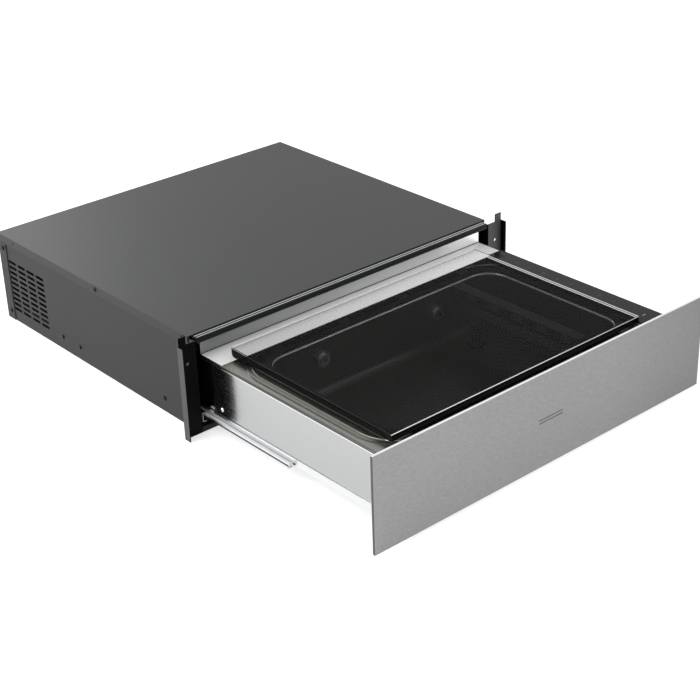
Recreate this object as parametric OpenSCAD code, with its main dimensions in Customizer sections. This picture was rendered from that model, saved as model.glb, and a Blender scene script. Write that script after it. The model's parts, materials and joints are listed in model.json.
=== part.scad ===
// Built-in vacuum sealing drawer, drawn with the drawer pulled out and the lid shut.
// The origin is the middle of the casing's underside. X runs along the front, -Y is the front, Z is up.
// A casing piece is placed by its distance behind the casing's front edge, a drawer piece by its
// distance behind the rear face of the front panel.

/* [Casing] */
// Width over the side sheets
casing_w = 544; // [541:1:556]
// Depth of the side sheets
casing_d = 485; // [480:1:530]
// Height of the casing
casing_h = 140; // [138:1:150]
// Thickness of the casing's sheet steel
sheet = 1.2; // [1:0.1:1.4]
// Height of the top cover's fold over the sides
cover_fold = 13; // [11:1:18]
// Depth of the rear panel's fold round the sides
rear_fold = 19; // [15:1:24]
// Height of the base pan's upturned edge
base_fold = 26; // [24:1:27]
// Radius of the fixing screws' heads
screw_head_r = 3.2; // [2.8:0.1:4]
// Radius of the fixing screws' shanks
screw_r = 1.6; // [1.2:0.1:1.8]

/* [Vents] */
// Length of one vent slot
vent_l = 22; // [16:1:24]
// Height of one vent slot
vent_h = 4.5; // [3:0.1:6]
// Slots in a row
vent_columns = 4; // [1:1:4]
// Rows of slots
vent_rows = 10; // [1:1:10]

/* [Brackets and trim] */
// Thickness of the niche brackets' steel
bracket_t = 1.5; // [1:0.1:1.6]
// Reach of the bracket's plate in front of the casing
bracket_step = 12; // [10:1:14]
// Depth of the bracket's outer lip
bracket_lip = 10; // [6:1:14]
// Height of the tab above the bracket's plate
tab_h = 12; // [6:1:16]
// Width of the tab
tab_w = 12; // [8:1:13]
// Diameter of the bracket's screw hole
bracket_hole_d = 4.5; // [3.5:0.1:5.5]
// Height of the bracket's screw hole
bracket_hole_z = 108; // [90:1:120]
// Height of the front trim
trim_h = 7; // [6:0.5:8]

/* [Front panel] */
// Reach of the front panel and the brackets beyond the casing's sides
side_reach = 25; // [23:0.5:28]
// Height of the front panel
panel_h = 134; // [130:1:136]
// Thickness of the front panel with its backing
panel_t = 5; // [4:0.5:8]
// Gap under the front panel
panel_gap = 3; // [2:0.5:5]
// Length of the two lines of the push mark
mark_l = 44; // [20:1:60]

/* [Drawer] */
// Width over the drawer's sides
drawer_w = 516; // [514:0.5:516]
// Height of the drawer's top edge
drawer_top = 111; // [109:0.5:112]
// Height of the drawer's bottom edge
drawer_low = 24.4; // [24.3:0.1:25]
// Thickness of the drawer's sheet steel
drawer_t = 1.2; // [0.8:0.1:1.3]
// Travel from shut to open
travel = 355; // [320:1:355]
// Gap between the shut panel and the brackets' lips
push_gap = 4; // [3:0.5:6]
// Gap between the shut drawer and the rear panel
rear_gap = 28; // [27:1:32]
// Depth of the deck between the hinge rail and the rear compartment
deck_d = 34; // [20:1:36]
// Height of the cover of the rear compartment
cover_top = 127; // [124:0.5:130]

/* [Vacuum chamber] */
// Width of the chamber's opening
chamber_w = 412; // [400:1:412]
// Depth of the chamber's opening
chamber_d = 250; // [246:1:250]
// Distance from the front panel to the chamber's opening
chamber_front = 47; // [46:0.5:47.5]
// Distance of the chamber's and the lid's middle to the left of the drawer's middle
chamber_shift = 9; // [9:0.5:10]
// Radius of the chamber's upright corners
corner_r = 32; // [20:1:45]
// Radius between the chamber's floor and walls
floor_r = 14; // [6:1:18]
// Height of the chamber's underside
chamber_low = 29; // [28.5:0.5:33]
// Thickness of the chamber's steel
chamber_t = 1.2; // [0.9:0.1:1.3]
// Width of the chamber's rim
rim_w = 35; // [30:0.5:35]
// Radius of the bead pressed into the rim
bead_r = 1.2; // [0.8:0.1:1.3]

/* [Lid] */
// Width of the glass lid and its hinge rail
lid_w = 446; // [436:1:448]
// Distance from the front panel to the lid's front edge
lid_front = 35; // [34:0.5:35.5]
// Depth of the glass that shows
lid_d = 275; // [275:0.5:276]
// Thickness of the lid's glass
glass_t = 8; // [6:0.5:8]
// Height of the hinge rail's top
rail_top = 123; // [122.8:0.1:124]
// Depth of the hinge rail
rail_d = 33; // [33:0.5:34]
// Thickness of the hinge rail's sheet
rail_t = 1.2; // [1:0.1:1.3]
// Radius of the hinge shaft
shaft_r = 3; // [2.5:0.1:3]
// Width of the lid's seal
seal_w = 8; // [5:0.5:8]

/* [Controls] */
// Width of the touch glass
touch_w = 25; // [22:0.5:25]
// Thickness of the touch glass
touch_t = 2; // [1.5:0.1:3]
// Number of touch sensors
touch_count = 8; // [3:1:9]

/* [Sealing] */
// Length of the sealing bar
bar_l = 232; // [180:1:234]
// Width of the sealing bar
bar_w = 30; // [22:1:36]
// Distance of the sealing bar to the right of the drawer's middle
bar_x = 125; // [100:1:140]
// Height of the sealing bar's body
bar_h = 14; // [10:0.5:16]
// Travel of the sealing bar
bar_lift = 10; // [6:0.5:12]
// Radius of the sealing bar's rods
rod_r = 4; // [3:0.1:5]

/* [Runners] */
// Height of the underside of the runners
runner_low = 14.6; // [14:0.1:15]
// Height of the fixed rail
runner_h = 14; // [13.9:0.1:15]
// Thickness of the fixed rail's steel
rail_sheet = 1.2; // [1:0.1:1.3]
// Length of the middle rail
middle_l = 450; // [400:1:455]
// Running gap between the rails
rail_play = 0.4; // [0.35:0.05:0.45]

/* [Rear compartment] */
// Size of the cooling fan
fan_size = 80; // [60:1:80]
// Thickness of the cooling fan
fan_t = 25; // [20:1:25]
// Number of fan blades
fan_blades = 7; // [3:1:9]
// Radius of the pump motor's body
motor_r = 42; // [36:0.5:42]
// Length of the pump motor
motor_l = 130; // [110:1:134]
// Height of the pump's rubber feet
foot_h = 9.6; // [8:0.2:12]
// Radius of the suction hose
hose_r = 7; // [6:0.1:9]
// Radius of the suction hose's bore
hose_bore_r = 4.5; // [3.5:0.1:5]

/* [Latch and inlet] */
// Length of the touch latch
latch_l = 70; // [50:1:80]
// Travel of the latch's plunger
plunger_travel = 5; // [3:0.5:6]
// Width of the mains inlet's flange
inlet_w = 50; // [46:1:56]
// Height of the mains inlet's flange
inlet_h = 24; // [22.5:0.5:28]

/* [Hidden] */
$fn = 48;
// Gap where two bodies pass each other, and where a piece is seated without touching
clear = 0.3;
// Radial play of a pin that turns or slides in its bore
fit = 0.05;
// Extra length of a cutting tool beyond the face that it cuts
past = 1;

// Casing
half_w = casing_w / 2;
side_in = half_w - sheet;
plate_low = casing_h - sheet;
fold_low = casing_h - cover_fold;
screw_play = 0.1;
cover_screw_y = [13, 0.4536 * casing_d];
cover_screw_z = casing_h - cover_fold / 2;
cover_hole_y = 0.9113 * casing_d;
base_screw_z = base_fold - 6;
wrap_screw_y = casing_d - rear_fold / 2;
wrap_screw_z = [13, casing_h - 23];
vent_pitch_y = 4 + vent_l;
vent_pitch_z = 4.2 + vent_h;
vent_rear = casing_d - 20;
vent_low = 18.5;
vent_front = vent_rear - (vent_columns - 1) * vent_pitch_y - vent_l;
base_notch_z = vent_low - 4;
base_screw_y = [70, vent_front - 83, vent_front - 37];

// Brackets and trim
panel_half = half_w + side_reach;
panel_top = panel_gap + panel_h;
leg_in = side_in - bracket_t;
lip_front = bracket_step + bracket_lip;
leg_rear = 20;
leg_low = base_fold + 2;
leg_top = plate_low - 2.8;
hole_x = (half_w + panel_half) / 2 - 0.5;
trim_half = leg_in - 3.3;
trim_leg = 8;
ridge_r = 1.2;
sill_h = 8;

// Runners, from the drawer's side outwards
dw = drawer_w / 2;
rail_low_in = runner_low + rail_sheet;
fixed_out = leg_in - 2.1;
fixed_web = fixed_out - rail_sheet;
fixed_in = fixed_out - 6;
fixed_top = runner_low + runner_h;
fixed_rear = casing_d - 15;
pad_y = [40, 180, 335];
pad_l = 20;
band_t = 1.2;
band_h = 10.6;
middle_t = 1;
middle_in = dw + band_t + rail_play;
middle_out = middle_in + 4.4;
middle_top = drawer_low + 2.4;
middle_low = middle_top - 5.4;
track_out = middle_out + rail_play;
track_top = middle_low - rail_play;
track_front = 6 - bracket_step;
clip_d = 1.2;
clip_h = 1.6;
slider_out = middle_out - middle_t - rail_play;
slider_top = middle_top - middle_t - rail_play;
slider_low = middle_low + middle_t + rail_play;

// Drawer
panel_y = -lip_front - push_gap - travel;
drawer_l = casing_d - rear_gap - travel - panel_y;
drawer_in = dw - drawer_t;
floor_low = drawer_low + drawer_t;
floor_top = floor_low + drawer_t;
top_flange = 8;
frame_top = drawer_top - chamber_t;
frame_low = frame_top - drawer_t;
flange_low = frame_low - drawer_t;
frame_out = dw + drawer_t;
frame_edge_low = frame_top - 4.3;
fold_r = 3;
rivet_z = 43;
rivet_to_room = 40;
skin_t = 1.2;
// The middle rail's front end with the drawer open; shut, it lies just before the fixed rail
middle_front = -bracket_step - clip_d - clear - travel / 2;
slider_from = middle_front - panel_y + 6;

// Lid and hinge
lid_half = lid_w / 2;
lid_x = -chamber_shift;
lid_rear = lid_front + lid_d;
rail_rear = lid_rear + rail_d;
rail_low = rail_top - rail_t;
glass_top = rail_low;
glass_low = glass_top - glass_t;
glass_rear = lid_rear + 10;
knuckle_r = shaft_r + 1.8;
hinge_z = rail_low - knuckle_r;
hinge_y = rail_rear - rail_t - knuckle_r - 0.2;
bracket_r = knuckle_r - 0.2;
hinge_x = [for (k = [-0.38, -0.12, 0.12, 0.38]) lid_x + k * lid_w];
arm_w = 16;
hinge_bracket_w = 12;
shaft_l = lid_w - 36;
tongue_t = 1.3;
tongue_low = glass_low - tongue_t;
cap_t = 2.6;

// Rear compartment
room_front = rail_rear + deck_d;
room_front_in = room_front + drawer_t;
room_rear = drawer_l - drawer_t;
room_mid = (room_front_in + room_rear) / 2;
room_d = room_rear - room_front_in;
cover_low = cover_top - drawer_t;
cover_half = drawer_in - drawer_t;
foot_top = floor_top + foot_h;
// Least gap between what stands in the rear compartment and its front and rear walls
room_gap = 6;
room_fit = room_d - 2 * room_gap;

head_x = -165;
head_w = 80;
head_d = min(80, room_fit);
head_h = 84;
motor = min(motor_r, room_fit / 2);
filter_r = 19;
filter_h = 80;
transformer_x = 104;
transformer_w = 75;
transformer_h = 62;
coil_d = min(58, room_fit);
board_x = 200;
board_half = 44;
board_half_d = min(board_half, room_fit / 2);
post_h = 8;
fan_gap = 4.8;
fan_half = min(fan_size, room_fit) / 2;
fan_z = floor_top + 2 + fan_half;
fan_pin_r = 1.5;

// Chamber
chamber_mid_y = chamber_front + chamber_d / 2;
chamber_in_low = chamber_low + chamber_t;
bend_r = 3;
bead_at = rim_w - 7;
port_x = [-120, 90];
port_z = [84, 80];
port_r = hose_bore_r;
port_rear = chamber_front + chamber_d + 18;

// Sealing bar
seal_top = glass_low;
seal_low = drawer_top + clear;
seal_in = bend_r;
tape_t = 0.6;
bar_top = 84;
bar_low = bar_top - bar_h;
bar_y = [chamber_mid_y - bar_l / 2 + 38, chamber_mid_y + bar_l / 2 - 38];
cylinder_r = rod_r + 5;
cylinder_top = bar_low - 8;
rod_low = cylinder_top - 22;
counter_low = bar_top + tape_t + bar_lift + clear;
counter_w = bar_w - 16;

// Touch glass
touch_out = dw - 0.5;
touch_in = touch_out - touch_w;
touch_front = 4;
touch_rear = lid_rear + 21;
touch_mid = touch_in + 8;
touch_step = 26;
sensor_r = 5;
board_top = frame_low - 6;
board_t = 1.6;

// Latch, inlet and catch
latch_rear = casing_d - 5;
latch_front = latch_rear - latch_l;
latch_w = 30;
latch_h = 15;
plunger_r = 4;
plunger_z = sheet + 8;
plunger_out = 12;
catch_face = latch_front - plunger_out - clear - travel - panel_y;
catch_t = 2.5;
inlet_x = 190;
inlet_z = 62;
socket_w = 27;
socket_h = 19;
socket_d = 17;
inlet_body_d = 20;
inlet_flange = 2.5;

// A box between two opposite corners
module block(low, high) {
    translate(low)
        cube([high[0] - low[0], high[1] - low[1], high[2] - low[2]]);
}

// A round bar along X, Y or Z
module bar_along_x(r, x0, x1, y, z) {
    translate([x0, y, z])
        rotate([0, 90, 0])
            cylinder(r = r, h = x1 - x0);
}
module bar_along_y(r, y0, y1, x, z) {
    translate([x, y1, z])
        rotate([90, 0, 0])
            cylinder(r = r, h = y1 - y0);
}
module bar_along_z(r, z0, z1, x, y) {
    translate([x, y, z0])
        cylinder(r = r, h = z1 - z0);
}

// Places what is drawn from the casing's front edge
module in_casing() {
    translate([0, -casing_d / 2, 0])
        children();
}

// Places what is drawn from the rear face of the front panel
module in_drawer() {
    translate([0, panel_y - casing_d / 2, 0])
        children();
}

// Draws a right-hand piece, or its mirror image for the left
module on_side(side) {
    if (side > 0)
        children();
    else
        mirror([1, 0, 0])
            children();
}

// A rectangle with true round corners, about the origin
module rounded_rect(w, d, r) {
    square([w - 2 * r, d], center = true);
    square([w, d - 2 * r], center = true);
    for (sx = [-1, 1], sy = [-1, 1])
        translate([sx * (w / 2 - r), sy * (d / 2 - r)])
            circle(r = r);
}

// Sweeps a section, drawn outwards from a corner's centre, round a rounded rectangle
module round_sweep(w, d, r) {
    for (q = [0 : 3]) {
        a = q % 2 == 0 ? w : d;
        b = q % 2 == 0 ? d : w;
        rotate(90 * q)
            translate([a / 2 - r, b / 2 - r, 0]) {
                rotate_extrude(angle = 90)
                    children();
                rotate([90, 0, 0])
                    linear_extrude(b - 2 * r)
                        children();
            }
    }
}

// A slot with round ends through a sheet that faces X
module slot_x(x0, x1, y0, z0, l, h) {
    block([x0, y0 + h / 2, z0], [x1, y0 + l - h / 2, z0 + h]);
    bar_along_x(h / 2, x0, x1, y0 + h / 2, z0 + h / 2);
    bar_along_x(h / 2, x0, x1, y0 + l - h / 2, z0 + h / 2);
}

// Every screw hole of one side, as bars with the given radius
module side_screw_holes(r) {
    x0 = leg_in - past;
    x1 = half_w + sheet + past;
    for (y = cover_screw_y)
        bar_along_x(r, x0, x1, y, cover_screw_z);
    for (y = base_screw_y)
        bar_along_x(r, x0, x1, y, base_screw_z);
    for (z = wrap_screw_z)
        bar_along_x(r, x0, x1, wrap_screw_y, z);
}

// Galvanised base pan with its sides turned up; the fold is lower beside the vents
module casing_base() {
    color("#3c3e40")
        in_casing()
            difference() {
                union() {
                    block([-side_in, 0, 0], [side_in, casing_d, sheet]);
                    for (s = [-1, 1])
                        on_side(s)
                            block([side_in - sheet, 0, 0], [side_in, casing_d - 12, base_fold]);
                }
                for (s = [-1, 1])
                    on_side(s) {
                        block([side_in - sheet - past, vent_front - 6, base_notch_z],
                              [side_in + past, casing_d, base_fold + past]);
                        side_screw_holes(screw_r + screw_play);
                    }
            }
}

// Side sheet with its grid of vent slots
module casing_side(side) {
    color("#55585a")
        in_casing()
            on_side(side)
                difference() {
                    block([side_in, 0, 0], [half_w, casing_d, plate_low]);
                    for (c = [0 : vent_columns - 1], r = [0 : vent_rows - 1])
                        slot_x(side_in - past, half_w + past, vent_rear - vent_l - c * vent_pitch_y,
                               vent_low + r * vent_pitch_z, vent_l, vent_h);
                    side_screw_holes(screw_r + screw_play);
                }
}
module left_casing_side() { casing_side(-1); }
module right_casing_side() { casing_side(1); }

// Top sheet with a fold over each side and over the rear panel's top edge
module top_cover() {
    out = half_w + sheet;
    color("#5f6264")
        in_casing()
            difference() {
                union() {
                    block([-out, 0, plate_low], [out, casing_d + sheet, casing_h]);
                    for (s = [-1, 1])
                        on_side(s)
                            block([half_w, 0, fold_low], [out, casing_d + sheet, casing_h]);
                }
                for (s = [-1, 1])
                    on_side(s) {
                        side_screw_holes(screw_r + screw_play);
                        bar_along_x(screw_r, half_w - past, out + past, cover_hole_y, cover_screw_z);
                    }
            }
}

// Rear sheet folded round both sides, with the opening for the mains inlet
module rear_panel() {
    out = half_w + sheet;
    color("#4d5052")
        in_casing()
            difference() {
                union() {
                    block([-out, casing_d, 0], [out, casing_d + sheet, fold_low - clear]);
                    block([-half_w, casing_d, 0], [half_w, casing_d + sheet, plate_low]);
                    for (s = [-1, 1])
                        on_side(s)
                            block([half_w, casing_d - rear_fold, 0],
                                  [out, casing_d + sheet, fold_low - clear]);
                }
                for (s = [-1, 1])
                    on_side(s)
                        side_screw_holes(screw_r + screw_play);
                block([inlet_x - socket_w / 2 - 3, casing_d - past, inlet_z - socket_h / 2 - 1.5],
                      [inlet_x + socket_w / 2 + 3, casing_d + sheet + past, inlet_z + socket_h / 2 + 1.5]);
                for (s = [-1, 1])
                    bar_along_y(screw_r + screw_play, casing_d - past, casing_d + sheet + past,
                                inlet_x + s * (inlet_w / 2 - 4.5), inlet_z);
            }
}

// Section of the front trim: two round ridges on top, two grooves and a lip in front
module trim_section() {
    ridge_z = casing_h - ridge_r;
    low = casing_h - trim_h;
    difference() {
        union() {
            translate([-bracket_step, low])
                square([bracket_step, ridge_z - low]);
            translate([-bracket_step, low - 1.6])
                square([3, 2]);
            translate([-past, plate_low - 2])
                square([trim_leg + past, 2]);
            for (y = [-bracket_step + 2.2, -bracket_step / 2 + 0.8])
                translate([y, ridge_z])
                    circle(r = ridge_r);
        }
        for (z = [low + 1.2, low + 3.2])
            translate([-bracket_step - past, z])
                square([past + 1.5, 0.9]);
    }
}

// Bright extruded trim along the casing's top front edge, held under the cover by its leg
module front_trim() {
    color("#c9cbcd")
        in_casing()
            translate([-trim_half, 0, 0])
                rotate([90, 0, 90])
                    linear_extrude(2 * trim_half)
                        trim_section();
}

// Black angle that closes the casing below the drawer
module front_sill() {
    half = leg_in - clear;
    color("#1b1c1d")
        in_casing() {
            block([-half, -bracket_step, 0], [half, 0, bracket_t]);
            block([-half, -bracket_step, 0], [half, -bracket_step + bracket_t, sill_h]);
        }
}

// Niche bracket: plate with screw holes, outer lip, tab above, and a leg inside the casing
module bracket(side) {
    plate_rear = -bracket_step + bracket_t;
    tab_out = panel_half - 1;
    color("#26282a")
        in_casing()
            on_side(side)
                difference() {
                    union() {
                        block([leg_in, -bracket_step, 0], [panel_half, plate_rear, panel_top]);
                        block([panel_half - bracket_t, -lip_front, 0], [panel_half, plate_rear, panel_top]);
                        block([tab_out - tab_w, -bracket_step, panel_top - past],
                              [tab_out, plate_rear, panel_top + tab_h]);
                        block([leg_in, plate_rear - past / 2, leg_low], [side_in, leg_rear, leg_top]);
                    }
                    bar_along_y(bracket_hole_d / 2, -bracket_step - past, plate_rear + past, hole_x,
                                bracket_hole_z);
                    side_screw_holes(screw_r + screw_play);
                }
}
module left_bracket() { bracket(-1); }
module right_bracket() { bracket(1); }

// Pan-head screw that enters a sheet facing X, with its head on the face at x
module side_screw(x, y, z, l) {
    bar_along_x(screw_r, x - l, x + 0.2, y, z);
    difference() {
        bar_along_x(screw_head_r, x, x + 1.8, y, z);
        bar_along_x(screw_r * 0.7, x + 0.8, x + 1.8 + past, y, z);
    }
}

// The screws of both sides
module casing_screws() {
    out = half_w + sheet;
    color("#8d9092")
        in_casing()
            for (s = [-1, 1])
                on_side(s) {
                    for (y = cover_screw_y)
                        side_screw(out, y, cover_screw_z, 3.2);
                    for (y = base_screw_y)
                        side_screw(half_w, y, base_screw_z, 3.2);
                    for (z = wrap_screw_z)
                        side_screw(out, wrap_screw_y, z, 3.2);
                }
}

// Fixed rail: a channel on the casing's side, open towards the drawer, with a raised track inside
module fixed_rail(side) {
    color("#b9bcbe")
        in_casing()
            on_side(side) {
                block([fixed_web, -bracket_step, runner_low], [fixed_out, fixed_rear, fixed_top]);
                block([fixed_in, -bracket_step, runner_low], [fixed_out, fixed_rear, rail_low_in]);
                block([fixed_in, -bracket_step, fixed_top - rail_sheet], [fixed_out, fixed_rear, fixed_top]);
                block([fixed_in + 1, track_front, rail_low_in - past / 2],
                      [fixed_out - past, fixed_rear, track_top]);
                block([track_out, track_front, track_top - past],
                      [fixed_out - past, fixed_rear, fixed_top - past]);
                for (y = pad_y)
                    block([fixed_web, y, runner_low + 2], [side_in - sheet, y + pad_l, base_fold - 2]);
            }
}
module left_fixed_rail() { fixed_rail(-1); }
module right_fixed_rail() { fixed_rail(1); }

// Middle rail: a smaller channel that slides in the fixed rail, with a clip round its front end
module middle_rail(side) {
    rear = middle_front + middle_l;
    color("#4a4c4e")
        in_casing()
            on_side(side) {
                block([middle_in, middle_front, middle_low], [middle_out, rear, middle_low + middle_t]);
                block([middle_in, middle_front, middle_top - middle_t], [middle_out, rear, middle_top]);
                block([middle_out - middle_t, middle_front, middle_low], [middle_out, rear, middle_top]);
                block([middle_in, middle_front, middle_top - middle_t],
                      [middle_out + clip_h, middle_front + clip_d, middle_top + clip_h]);
                block([middle_out - middle_t, middle_front, middle_low],
                      [middle_out + clip_h, middle_front + clip_d, middle_top]);
            }
}
module left_middle_rail() { middle_rail(-1); }
module right_middle_rail() { middle_rail(1); }

// Touch latch: a box on the base pan whose plunger pushes the shut drawer out
module latch_housing() {
    color("#2e3032")
        in_casing()
            difference() {
                union() {
                    block([-latch_w / 2, latch_front, sheet], [latch_w / 2, latch_rear, sheet + latch_h]);
                    for (s = [-1, 1])
                        on_side(s)
                            difference() {
                                block([latch_w / 2 - past, latch_front + 6, sheet],
                                      [latch_w / 2 + 10, latch_front + 20, sheet + 2.5]);
                                bar_along_z(2, 0, sheet + 4, latch_w / 2 + 5.5, latch_front + 13);
                            }
                }
                bar_along_y(plunger_r + fit, latch_front - past, latch_front + 40, 0, plunger_z);
            }
}

// Sprung plunger with a round nose
module latch_plunger() {
    tip = latch_front - plunger_out;
    color("#d8d8d4")
        in_casing() {
            bar_along_y(plunger_r, tip + 2, latch_front + 40 - plunger_travel - 2, 0, plunger_z);
            bar_along_y(plunger_r - 1.2, tip, tip + 2 + past, 0, plunger_z);
        }
}

// Mains inlet: a flanged socket, open to the rear
module mains_inlet() {
    face = casing_d + sheet;
    color("#1a1a1b")
        in_casing()
            difference() {
                union() {
                    block([inlet_x - inlet_w / 2, face, inlet_z - inlet_h / 2],
                          [inlet_x + inlet_w / 2, face + inlet_flange, inlet_z + inlet_h / 2]);
                    block([inlet_x - socket_w / 2 - 2.5, face - inlet_body_d, inlet_z - socket_h / 2 - 1.2],
                          [inlet_x + socket_w / 2 + 2.5, face + past, inlet_z + socket_h / 2 + 1.2]);
                }
                block([inlet_x - socket_w / 2, face + inlet_flange - socket_d, inlet_z - socket_h / 2],
                      [inlet_x + socket_w / 2, face + inlet_flange + past, inlet_z + socket_h / 2]);
                for (s = [-1, 1])
                    bar_along_y(screw_r + screw_play, face - past, face + inlet_flange + past,
                                inlet_x + s * (inlet_w / 2 - 4.5), inlet_z);
            }
}

// The inlet's three flat contacts
module inlet_contacts() {
    back = casing_d + sheet + inlet_flange - socket_d;
    color("#c8b070")
        in_casing()
            for (p = [[-7, -2], [0, 2], [7, -2]])
                block([inlet_x + p[0] - 1, back, inlet_z + p[1] - 2],
                      [inlet_x + p[0] + 1, back + 13, inlet_z + p[1] + 2]);
}

// Stainless skin of the front, folded round the backing, with the two lines of the push mark
module front_panel() {
    mark_z = panel_gap + panel_h / 2;
    color("#b4b5b4")
        in_drawer()
            difference() {
                block([-panel_half, -panel_t, panel_gap], [panel_half, -skin_t, panel_top]);
                block([-panel_half + skin_t, -panel_t + skin_t, panel_gap + skin_t],
                      [panel_half - skin_t, past, panel_top - skin_t]);
                for (z = [-2.6, 1.9])
                    block([-mark_l / 2, -panel_t - past, mark_z + z],
                          [mark_l / 2, -panel_t + 0.3, mark_z + z + 0.7]);
            }
}

// Backing plate inside the skin
module panel_backing() {
    color("#6c6e70")
        in_drawer()
            block([-panel_half + skin_t, -panel_t + skin_t, panel_gap + skin_t],
                  [panel_half - skin_t, 0, panel_top - skin_t]);
}

// Inner front wall that the panel is screwed to
module drawer_front_wall() {
    color("#a9abac")
        in_drawer()
            difference() {
                block([-drawer_in, 0, floor_top], [drawer_in, drawer_t, flange_low]);
                for (x = [-0.36, -0.12, 0.12, 0.36])
                    bar_along_y(9, -past, drawer_t + past, x * drawer_w, (floor_top + frame_low) / 2);
            }
}

// Section of a sheet folded down along its right edge: flat part, round fold and wall
module fold_section(flat_from, out, top, low) {
    translate([flat_from, top - drawer_t])
        square([out - fold_r - flat_from, drawer_t]);
    translate([out - fold_r, top - fold_r])
        difference() {
            intersection() {
                circle(r = fold_r);
                square(fold_r);
            }
            circle(r = fold_r - drawer_t);
        }
    translate([out - drawer_t, low])
        square([drawer_t, top - fold_r - low]);
}

// Section of the right drawer side: wall with a flange along its top and its bottom
module side_section() {
    fold_section(dw - top_flange, dw, frame_low, drawer_low);
    translate([dw - 12, drawer_low])
        square([12, drawer_t]);
}

// Drawer side, slotted and without its top flange beside the rear compartment
module drawer_side(side) {
    slot_l = 0.65 * room_d;
    slot_h = 3.6;
    slot_low = 42;
    slot_pitch = 7;
    color("#c4c6c6")
        in_drawer()
            on_side(side)
                difference() {
                    translate([0, drawer_l, 0])
                        rotate([90, 0, 0])
                            linear_extrude(drawer_l)
                                side_section();
                    block([dw - top_flange - past, room_front, frame_low - fold_r - past],
                          [drawer_in, drawer_l + past, frame_low + past]);
                    for (r = [0 : 7])
                        slot_x(drawer_in - past, dw + past, room_mid - slot_l / 2,
                               slot_low + r * slot_pitch, slot_l, slot_h);
                    bar_along_x(screw_r, drawer_in - past, dw + past, room_front - rivet_to_room, rivet_z);
                }
}
module left_drawer_side() { drawer_side(-1); }
module right_drawer_side() { drawer_side(1); }

// Floor of the drawer, with a row of air slots under the rear compartment
module drawer_floor() {
    slot_x0 = 30;
    slot_pitch = 9;
    slot_w = 4;
    slot_half = room_d / 4;
    color("#9fa2a3")
        in_drawer()
            difference() {
                block([-drawer_in, drawer_t, floor_low], [drawer_in, room_rear, floor_top]);
                for (i = [0 : 9])
                    block([slot_x0 + i * slot_pitch, room_mid - slot_half, floor_low - past],
                          [slot_x0 + i * slot_pitch + slot_w, room_mid + slot_half, floor_top + past]);
            }
}

// Rear wall of the drawer, with air slots and a passage for the wiring
module drawer_rear_wall() {
    slot_x0 = -66;
    slot_pitch = 9;
    slot_w = 4;
    slot_low = 50;
    slot_top = 108;
    passage_r = 8;
    passage_z = 44;
    color("#9fa2a3")
        in_drawer()
            difference() {
                block([-drawer_in, room_rear, floor_low], [drawer_in, drawer_l, cover_low]);
                for (i = [0 : 11])
                    block([slot_x0 + i * slot_pitch, room_rear - past, slot_low],
                          [slot_x0 + i * slot_pitch + slot_w, drawer_l + past, slot_top]);
                bar_along_y(passage_r, room_rear - past, drawer_l + past, drawer_in - 40, passage_z);
            }
}

// Cover of the rear compartment: top, front step and two sides
module compartment_cover() {
    color("#aeb2b2")
        in_drawer() {
            block([-drawer_in, room_front, cover_low], [drawer_in, drawer_l, cover_top]);
            block([-drawer_in, room_front, frame_top], [drawer_in, room_front_in, cover_top]);
            for (s = [-1, 1])
                on_side(s)
                    union() {
                        block([cover_half, room_front, frame_top], [drawer_in, room_rear, cover_top]);
                        block([cover_half, room_front_in, flange_low],
                              [drawer_in, room_rear, frame_top + past]);
                    }
        }
}

// Stainless frame round the chamber, folded down over the drawer's sides; it carries the chamber's
// rim and the touch glass
module top_frame() {
    gap = bend_r + 4;
    front = 0.5;
    color("#cfd0ce")
        in_drawer()
            difference() {
                union() {
                    block([-dw + fold_r, drawer_t, frame_low], [dw - fold_r, room_front_in, frame_top]);
                    for (s = [-1, 1])
                        on_side(s)
                            translate([0, room_front_in, 0])
                                rotate([90, 0, 0])
                                    linear_extrude(room_front_in - front)
                                        fold_section(dw - fold_r - past, frame_out, frame_top,
                                                     frame_edge_low);
                }
                translate([-chamber_shift, chamber_mid_y, frame_low - past])
                    linear_extrude(drawer_t + 2 * past)
                        rounded_rect(chamber_w + 2 * gap, chamber_d + 2 * gap, corner_r + gap);
                for (i = [0 : touch_count - 1])
                    bar_along_z(sensor_r + 2, frame_low - past, frame_top + past, touch_mid, touch_y(i));
            }
}

// Place of one touch sensor, counted from the rear
function touch_y(i) = touch_rear - 48 - i * touch_step;

// Drawer rail: a band on the drawer's side with a slider that runs in the middle rail
module drawer_rail(side) {
    color("#e2e3e2")
        in_drawer()
            on_side(side) {
                block([dw, 0.5, drawer_low], [dw + band_t, drawer_l, drawer_low + band_h]);
                block([dw, slider_from, slider_low], [dw + band_t, drawer_l, drawer_low + past]);
                block([dw + band_t - past, slider_from, slider_low], [slider_out, drawer_l, slider_top]);
            }
}
module left_drawer_rail() { drawer_rail(-1); }
module right_drawer_rail() { drawer_rail(1); }

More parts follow.
